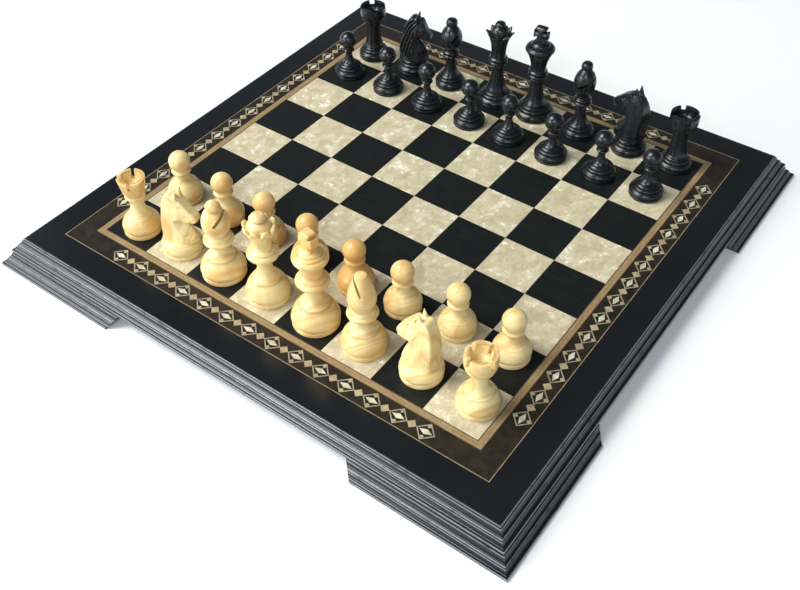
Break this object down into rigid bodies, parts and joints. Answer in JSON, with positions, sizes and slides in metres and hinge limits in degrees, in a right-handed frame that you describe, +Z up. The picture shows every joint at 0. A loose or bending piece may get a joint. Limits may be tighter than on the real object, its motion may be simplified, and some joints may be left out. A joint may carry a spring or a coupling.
{
  "type": "chess set with board",
  "caption": "Low inlaid square board with a moulded border on corner bracket feet, set out with turned wooden chessmen in two colours, each lifting off.",
  "frame": {"origin": "middle of the board's underside, on the plane its feet stand on", "axes": "+Z up, +X towards the king's side of the board as the pale men see it, +Y from the pale men towards the dark men"},
  "size_m": [0.396, 0.396, 0.0929],
  "materials": {
    "boxwood": "pale golden wood, waxed to a satin gloss",
    "ebonised_wood": "black stained wood, polished glossy",
    "core_board": "plain unfinished board",
    "square_veneer": "smooth lacquered squares, pearly cream and plain black",
    "tan_stringing": "golden brown wood under satin lacquer",
    "dark_band": "dark brown inlaid strip under satin lacquer",
    "black_lacquer": "black satin lacquer with a fine grain showing through"
  },
  "bodies": {
    "board": {"border_rail_back": "black_lacquer", "border_rail_front": "black_lacquer", "border_rail_left": "black_lacquer", "border_rail_right": "black_lacquer", "core_panel": "core_board", "foot_back_left_on_back": "black_lacquer", "foot_back_left_on_left": "black_lacquer", "foot_back_right_on_back": "black_lacquer", "foot_back_right_on_right": "black_lacquer", "foot_front_left_on_front": "black_lacquer", "foot_front_left_on_left": "black_lacquer", "foot_front_right_on_front": "black_lacquer", "foot_front_right_on_right": "black_lacquer", "inlay_band_back": "dark_band", "inlay_band_front": "dark_band", "inlay_band_left": "dark_band", "inlay_band_right": "dark_band", "playing_field": "square_veneer", "stringing_back": "tan_stringing", "stringing_front": "tan_stringing", "stringing_left": "tan_stringing", "stringing_right": "tan_stringing"},
    "black_bishop_c": {"black_bishop_c": "ebonised_wood"},
    "black_bishop_f": {"black_bishop_f": "ebonised_wood"},
    "black_king": {"black_king": "ebonised_wood", "black_king_cross": "ebonised_wood"},
    "black_knight_b": {"black_knight_b_base": "ebonised_wood", "black_knight_b_head": "ebonised_wood"},
    "black_knight_g": {"black_knight_g_base": "ebonised_wood", "black_knight_g_head": "ebonised_wood"},
    "black_pawn_a": {"black_pawn_a": "ebonised_wood"},
    "black_pawn_b": {"black_pawn_b": "ebonised_wood"},
    "black_pawn_c": {"black_pawn_c": "ebonised_wood"},
    "black_pawn_d": {"black_pawn_d": "ebonised_wood"},
    "black_pawn_e": {"black_pawn_e": "ebonised_wood"},
    "black_pawn_f": {"black_pawn_f": "ebonised_wood"},
    "black_pawn_g": {"black_pawn_g": "ebonised_wood"},
    "black_pawn_h": {"black_pawn_h": "ebonised_wood"},
    "black_queen": {"black_queen": "ebonised_wood"},
    "black_rook_a": {"black_rook_a": "ebonised_wood"},
    "black_rook_h": {"black_rook_h": "ebonised_wood"},
    "white_bishop_c": {"white_bishop_c": "boxwood"},
    "white_bishop_f": {"white_bishop_f": "boxwood"},
    "white_king": {"white_king": "boxwood", "white_king_cross": "boxwood"},
    "white_knight_b": {"white_knight_b_base": "boxwood", "white_knight_b_head": "boxwood"},
    "white_knight_g": {"white_knight_g_base": "boxwood", "white_knight_g_head": "boxwood"},
    "white_pawn_a": {"white_pawn_a": "boxwood"},
    "white_pawn_b": {"white_pawn_b": "boxwood"},
    "white_pawn_c": {"white_pawn_c": "boxwood"},
    "white_pawn_d": {"white_pawn_d": "boxwood"},
    "white_pawn_e": {"white_pawn_e": "boxwood"},
    "white_pawn_f": {"white_pawn_f": "boxwood"},
    "white_pawn_g": {"white_pawn_g": "boxwood"},
    "white_pawn_h": {"white_pawn_h": "boxwood"},
    "white_queen": {"white_queen": "boxwood"},
    "white_rook_a": {"white_rook_a": "boxwood"},
    "white_rook_h": {"white_rook_h": "boxwood"}
  },
  "joints": [
    {"name": "black_bishop_c_lift", "type": "slide", "parent": "board", "child": "black_bishop_c", "axis": [0, 0, 1], "range_m": [0, 0.11]},
    {"name": "black_bishop_f_lift", "type": "slide", "parent": "board", "child": "black_bishop_f", "axis": [0, 0, 1], "range_m": [0, 0.11]},
    {"name": "black_king_lift", "type": "slide", "parent": "board", "child": "black_king", "axis": [0, 0, 1], "range_m": [0, 0.11]},
    {"name": "black_knight_b_lift", "type": "slide", "parent": "board", "child": "black_knight_b", "axis": [0, 0, 1], "range_m": [0, 0.11]},
    {"name": "black_knight_g_lift", "type": "slide", "parent": "board", "child": "black_knight_g", "axis": [0, 0, 1], "range_m": [0, 0.11]},
    {"name": "black_pawn_a_lift", "type": "slide", "parent": "board", "child": "black_pawn_a", "axis": [0, 0, 1], "range_m": [0, 0.11]},
    {"name": "black_pawn_b_lift", "type": "slide", "parent": "board", "child": "black_pawn_b", "axis": [0, 0, 1], "range_m": [0, 0.11]},
    {"name": "black_pawn_c_lift", "type": "slide", "parent": "board", "child": "black_pawn_c", "axis": [0, 0, 1], "range_m": [0, 0.11]},
    {"name": "black_pawn_d_lift", "type": "slide", "parent": "board", "child": "black_pawn_d", "axis": [0, 0, 1], "range_m": [0, 0.11]},
    {"name": "black_pawn_e_lift", "type": "slide", "parent": "board", "child": "black_pawn_e", "axis": [0, 0, 1], "range_m": [0, 0.11]},
    {"name": "black_pawn_f_lift", "type": "slide", "parent": "board", "child": "black_pawn_f", "axis": [0, 0, 1], "range_m": [0, 0.11]},
    {"name": "black_pawn_g_lift", "type": "slide", "parent": "board", "child": "black_pawn_g", "axis": [0, 0, 1], "range_m": [0, 0.11]},
    {"name": "black_pawn_h_lift", "type": "slide", "parent": "board", "child": "black_pawn_h", "axis": [0, 0, 1], "range_m": [0, 0.11]},
    {"name": "black_queen_lift", "type": "slide", "parent": "board", "child": "black_queen", "axis": [0, 0, 1], "range_m": [0, 0.11]},
    {"name": "black_rook_a_lift", "type": "slide", "parent": "board", "child": "black_rook_a", "axis": [0, 0, 1], "range_m": [0, 0.11]},
    {"name": "black_rook_h_lift", "type": "slide", "parent": "board", "child": "black_rook_h", "axis": [0, 0, 1], "range_m": [0, 0.11]},
    {"name": "white_bishop_c_lift", "type": "slide", "parent": "board", "child": "white_bishop_c", "axis": [0, 0, 1], "range_m": [0, 0.11]},
    {"name": "white_bishop_f_lift", "type": "slide", "parent": "board", "child": "white_bishop_f", "axis": [0, 0, 1], "range_m": [0, 0.11]},
    {"name": "white_king_lift", "type": "slide", "parent": "board", "child": "white_king", "axis": [0, 0, 1], "range_m": [0, 0.11]},
    {"name": "white_knight_b_lift", "type": "slide", "parent": "board", "child": "white_knight_b", "axis": [0, 0, 1], "range_m": [0, 0.11]},
    {"name": "white_knight_g_lift", "type": "slide", "parent": "board", "child": "white_knight_g", "axis": [0, 0, 1], "range_m": [0, 0.11]},
    {"name": "white_pawn_a_lift", "type": "slide", "parent": "board", "child": "white_pawn_a", "axis": [0, 0, 1], "range_m": [0, 0.11]},
    {"name": "white_pawn_b_lift", "type": "slide", "parent": "board", "child": "white_pawn_b", "axis": [0, 0, 1], "range_m": [0, 0.11]},
    {"name": "white_pawn_c_lift", "type": "slide", "parent": "board", "child": "white_pawn_c", "axis": [0, 0, 1], "range_m": [0, 0.11]},
    {"name": "white_pawn_d_lift", "type": "slide", "parent": "board", "child": "white_pawn_d", "axis": [0, 0, 1], "range_m": [0, 0.11]},
    {"name": "white_pawn_e_lift", "type": "slide", "parent": "board", "child": "white_pawn_e", "axis": [0, 0, 1], "range_m": [0, 0.11]},
    {"name": "white_pawn_f_lift", "type": "slide", "parent": "board", "child": "white_pawn_f", "axis": [0, 0, 1], "range_m": [0, 0.11]},
    {"name": "white_pawn_g_lift", "type": "slide", "parent": "board", "child": "white_pawn_g", "axis": [0, 0, 1], "range_m": [0, 0.11]},
    {"name": "white_pawn_h_lift", "type": "slide", "parent": "board", "child": "white_pawn_h", "axis": [0, 0, 1], "range_m": [0, 0.11]},
    {"name": "white_queen_lift", "type": "slide", "parent": "board", "child": "white_queen", "axis": [0, 0, 1], "range_m": [0, 0.11]},
    {"name": "white_rook_a_lift", "type": "slide", "parent": "board", "child": "white_rook_a", "axis": [0, 0, 1], "range_m": [0, 0.11]},
    {"name": "white_rook_h_lift", "type": "slide", "parent": "board", "child": "white_rook_h", "axis": [0, 0, 1], "range_m": [0, 0.11]}
  ]
}
